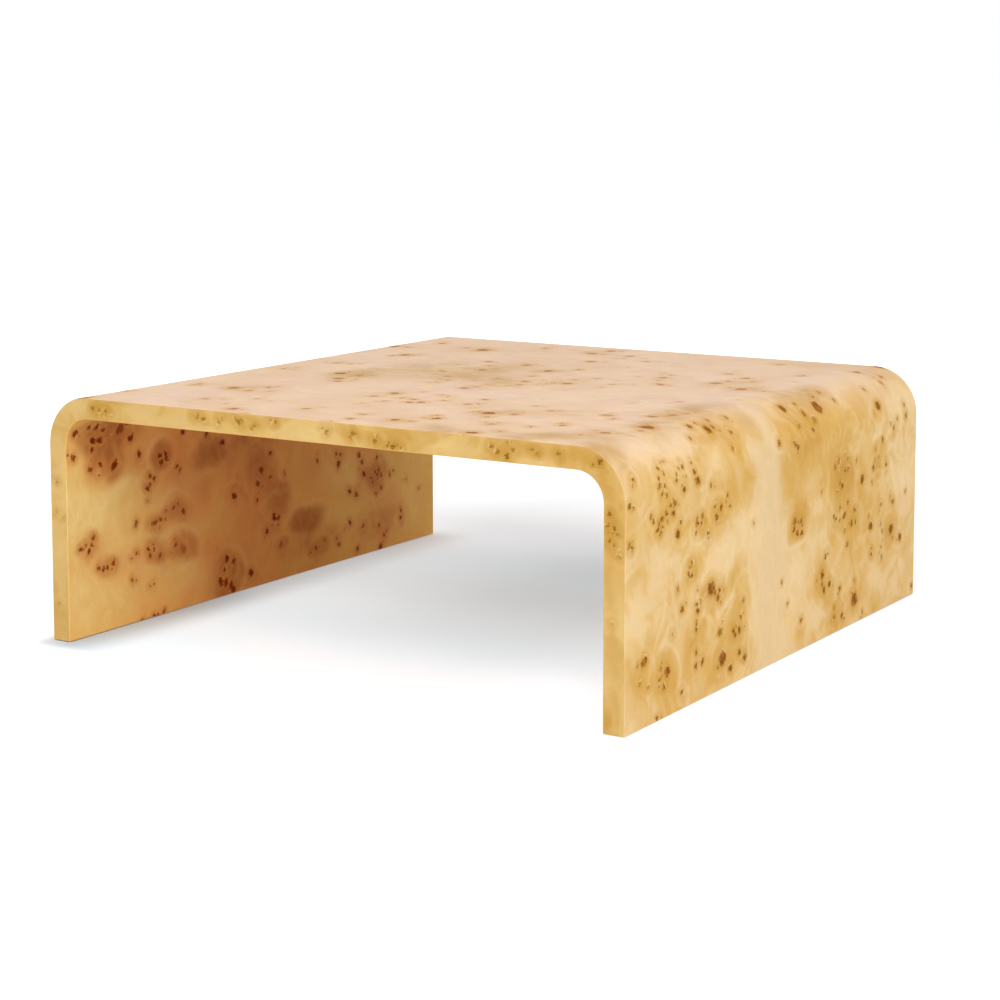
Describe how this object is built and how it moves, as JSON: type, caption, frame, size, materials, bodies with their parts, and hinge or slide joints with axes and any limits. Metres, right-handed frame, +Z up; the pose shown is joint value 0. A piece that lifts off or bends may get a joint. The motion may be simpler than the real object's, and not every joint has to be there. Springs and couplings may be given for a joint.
{
  "type": "coffee table",
  "caption": "Low square waterfall coffee table: a thick flat top turns through round bends into full-depth slab legs at the sides, veneered all over in pale burl wood.",
  "frame": {"origin": "centre of the footprint on the floor, under the middle of the table", "axes": "+Z up; +X towards the right leg, square to the leg faces; -Y towards the front, where the arch is open (the rear is open too)"},
  "size_m": [1.067, 1.067, 0.406],
  "materials": {
    "burl_outer_face": "satin lacquer over pale burl veneer with brown eyes",
    "burl_inner_face": "satin lacquer over honey burl veneer with brown eyes",
    "burl_edge": "satin lacquer over yellow burl veneer strips",
    "fibreboard_core": "raw medium density fibreboard",
    "bent_ply": "raw bending plywood",
    "tongue_ply": "raw birch plywood",
    "lipping_hardwood": "sealed poplar",
    "glide_nylon": "moulded nylon",
    "nail_steel": "plain steel"
  },
  "bodies": {
    "root": {"top_board": "fibreboard_core", "left_leg_board": "fibreboard_core", "left_bend_ply_1": "bent_ply", "left_bend_ply_2": "bent_ply", "left_bend_ply_3": "bent_ply", "left_bend_ply_4": "bent_ply", "left_bend_ply_5": "bent_ply", "left_top_tongue": "tongue_ply", "left_leg_tongue": "tongue_ply", "left_foot_lipping": "lipping_hardwood", "left_glide_1": "glide_nylon", "left_glide_2": "glide_nylon", "left_glide_nail_1": "nail_steel", "left_glide_nail_2": "nail_steel", "left_front_outer_leaf": "burl_outer_face", "left_front_inner_leaf": "burl_inner_face", "left_rear_outer_leaf": "burl_outer_face", "left_rear_inner_leaf": "burl_inner_face", "right_leg_board": "fibreboard_core", "right_bend_ply_1": "bent_ply", "right_bend_ply_2": "bent_ply", "right_bend_ply_3": "bent_ply", "right_bend_ply_4": "bent_ply", "right_bend_ply_5": "bent_ply", "right_top_tongue": "tongue_ply", "right_leg_tongue": "tongue_ply", "right_foot_lipping": "lipping_hardwood", "right_glide_1": "glide_nylon", "right_glide_2": "glide_nylon", "right_glide_nail_1": "nail_steel", "right_glide_nail_2": "nail_steel", "right_front_outer_leaf": "burl_outer_face", "right_front_inner_leaf": "burl_inner_face", "right_rear_outer_leaf": "burl_outer_face", "right_rear_inner_leaf": "burl_inner_face", "front_arch_edge_strip": "burl_edge", "front_left_leg_edge_strip": "burl_edge", "front_right_leg_edge_strip": "burl_edge", "rear_arch_edge_strip": "burl_edge", "rear_left_leg_edge_strip": "burl_edge", "rear_right_leg_edge_strip": "burl_edge"}
  },
  "joints": []
}
